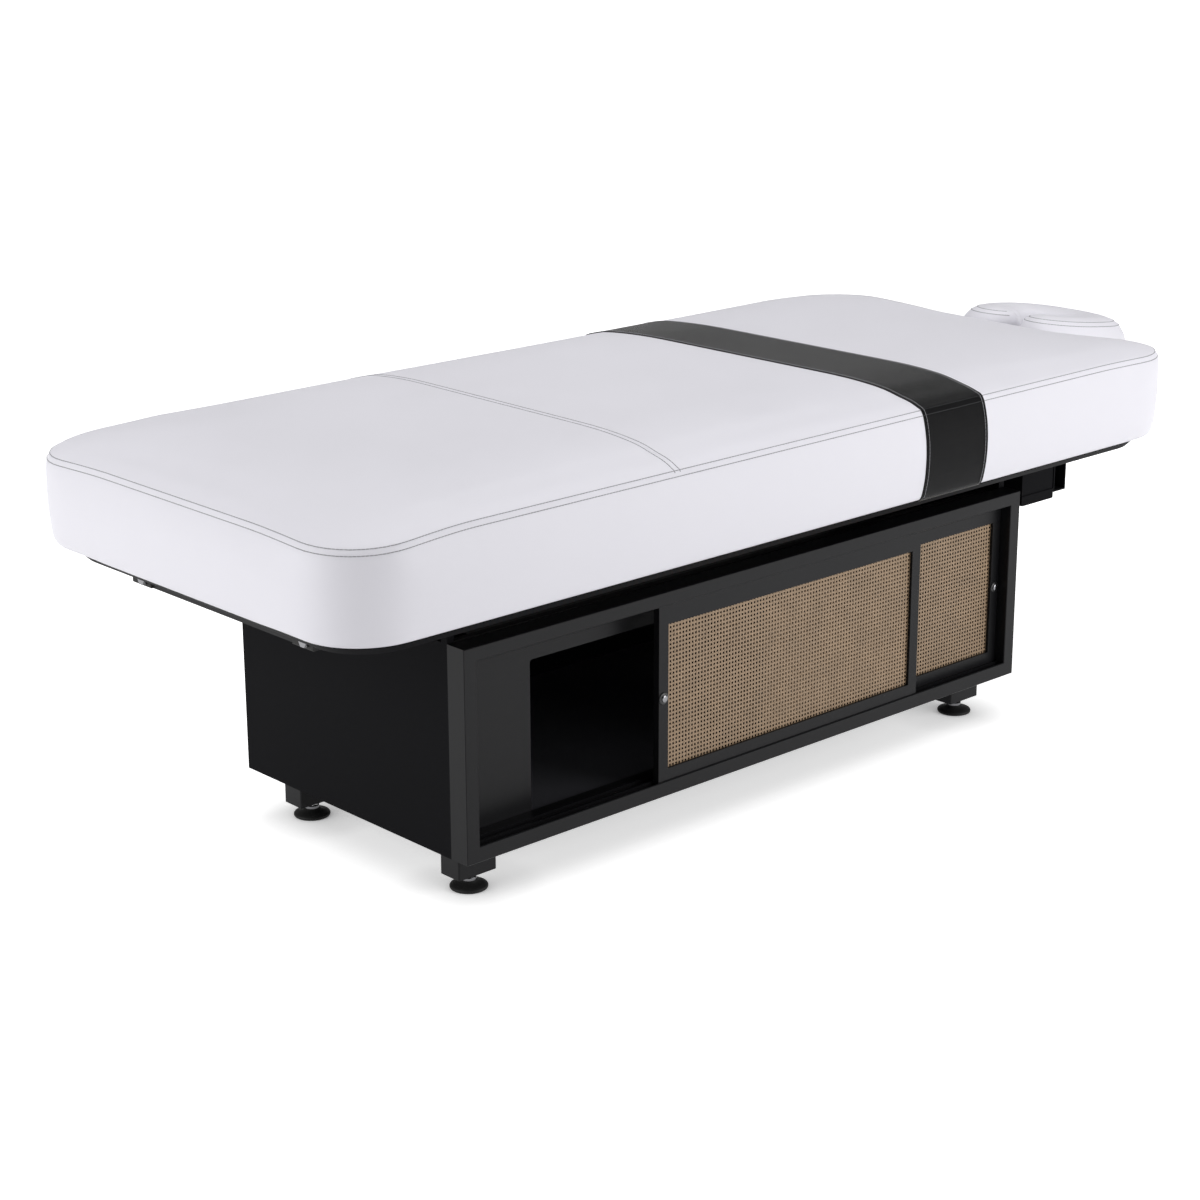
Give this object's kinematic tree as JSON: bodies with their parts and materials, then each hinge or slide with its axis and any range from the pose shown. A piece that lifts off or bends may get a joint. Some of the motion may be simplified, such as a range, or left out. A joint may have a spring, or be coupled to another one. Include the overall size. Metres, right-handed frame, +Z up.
{
  "type": "spa treatment table with storage cabinet",
  "caption": "Long upholstered treatment table on electric lifting columns, in a cabinet with sliding cane doors, levelling feet and a tilting face rest.",
  "frame": {"origin": "on the floor, below the centre of the table's bounding box", "axes": "+X along the table towards the head end with the face rest, -Y towards the sliding doors, +Z up"},
  "size_m": [2.136, 0.825, 0.69],
  "materials": {
    "cushion_white": "matt coated upholstery",
    "band_leather": "fine grained black upholstery",
    "black_lacquer": "satin black lacquer on board",
    "black_steel": "black powder coat",
    "column_steel": "grey powder coat",
    "zinc_steel": "bright zinc",
    "bright_chrome": "polished",
    "cane": "natural cane",
    "black_nylon": "moulded",
    "black_rubber": "matt",
    "pull_black": "blackened turned metal"
  },
  "bodies": {
    "base": {"cabinet_floor": "black_lacquer", "front_surround": "black_lacquer", "door_sill": "black_lacquer", "front_corner_strips": "black_lacquer", "end_panels": "black_lacquer", "back_corner_posts": "black_lacquer", "back_panel": "black_lacquer", "inner_face_panel": "black_lacquer", "bay_partitions": "black_lacquer", "bay_ceiling": "black_lacquer", "leg_blocks": "black_steel", "lock_nuts": "bright_chrome", "foot_column_outer": "column_steel", "head_column_outer": "column_steel", "column_motors": "black_steel", "column_base_bolts": "zinc_steel"},
    "front_door": {"front_door_frame": "black_lacquer", "front_door_cane": "cane", "front_door_pull": "pull_black", "front_door_shoes": "black_nylon"},
    "rear_door": {"rear_door_frame": "black_lacquer", "rear_door_cane": "cane", "rear_door_pull": "pull_black", "rear_door_shoes": "black_nylon"},
    "middle_stages": {"foot_column_middle": "column_steel", "head_column_middle": "column_steel"},
    "top": {"foot_column_inner": "column_steel", "head_column_inner": "column_steel", "column_top_bolts": "zinc_steel", "cross_plates": "black_steel", "side_rails": "black_steel", "cross_members": "black_steel", "rail_end_caps": "black_nylon", "rail_end_bolts": "bright_chrome", "deck_board": "black_lacquer", "deck_screws": "zinc_steel", "control_housing": "black_steel", "housing_tray": "black_steel", "power_inlet": "black_nylon", "end_channel": "black_steel", "receiver_sleeves": "black_steel", "cushion_foot_section": "cushion_white", "cushion_band": "band_leather", "cushion_head_section": "cushion_white"},
    "face_rest_frame": {"face_rest_rods": "bright_chrome", "face_rest_bracket": "black_steel", "tilt_pivot_pin": "bright_chrome"},
    "face_rest": {"face_rest_platform": "black_lacquer", "face_rest_cushion": "cushion_white"},
    "rod_clamp": {"rod_clamp_knob": "black_nylon"},
    "tilt_clamp": {"tilt_lever": "black_nylon"},
    "foot_1": {"foot_pad_1": "black_rubber", "foot_stud_1": "bright_chrome"},
    "foot_2": {"foot_pad_2": "black_rubber", "foot_stud_2": "bright_chrome"},
    "foot_3": {"foot_pad_3": "black_rubber", "foot_stud_3": "bright_chrome"},
    "foot_4": {"foot_pad_4": "black_rubber", "foot_stud_4": "bright_chrome"}
  },
  "joints": [
    {"name": "top_lift", "type": "slide", "parent": "base", "child": "top", "axis": [0, 0, 1], "range_m": [0, 0.3]},
    {"name": "middle_stage_lift", "type": "slide", "parent": "base", "child": "middle_stages", "axis": [0, 0, 1], "range_m": [0, 0.15]},
    {"name": "front_door_slide", "type": "slide", "parent": "base", "child": "front_door", "axis": [1, 0, 0], "range_m": [-0.372, 0.237]},
    {"name": "rear_door_slide", "type": "slide", "parent": "base", "child": "rear_door", "axis": [1, 0, 0], "range_m": [-0.609, 0]},
    {"name": "face_rest_slide", "type": "slide", "parent": "top", "child": "face_rest_frame", "axis": [1, 0, 0], "range_m": [0, 0.12]},
    {"name": "face_rest_tilt", "type": "hinge", "parent": "face_rest_frame", "child": "face_rest", "pos_m": [0.871, 0, 0.548], "axis": [0, 1, 0], "range_deg": [0, 30]},
    {"name": "tilt_lever_turn", "type": "hinge", "parent": "face_rest_frame", "child": "tilt_clamp", "pos_m": [0.871, 0.07, 0.548], "axis": [0, 1, 0], "range_deg": [0, 90]},
    {"name": "rod_clamp_turn", "type": "hinge", "parent": "top", "child": "rod_clamp", "pos_m": [0.7445, 0.095, 0.35], "axis": [0, 0, 1], "continuous": true},
    {"name": "foot_1_turn", "type": "hinge", "parent": "base", "child": "foot_1", "pos_m": [-0.6835, -0.1895, 0.03], "axis": [0, 0, 1], "continuous": true},
    {"name": "foot_2_turn", "type": "hinge", "parent": "base", "child": "foot_2", "pos_m": [-0.6835, 0.2105, 0.03], "axis": [0, 0, 1], "continuous": true},
    {"name": "foot_3_turn", "type": "hinge", "parent": "base", "child": "foot_3", "pos_m": [0.4675, -0.1895, 0.03], "axis": [0, 0, 1], "continuous": true},
    {"name": "foot_4_turn", "type": "hinge", "parent": "base", "child": "foot_4", "pos_m": [0.4675, 0.2105, 0.03], "axis": [0, 0, 1], "continuous": true}
  ],
  "couplings": [
    {"joint": "middle_stage_lift", "follows": "top_lift", "ratio": 0.5}
  ]
}
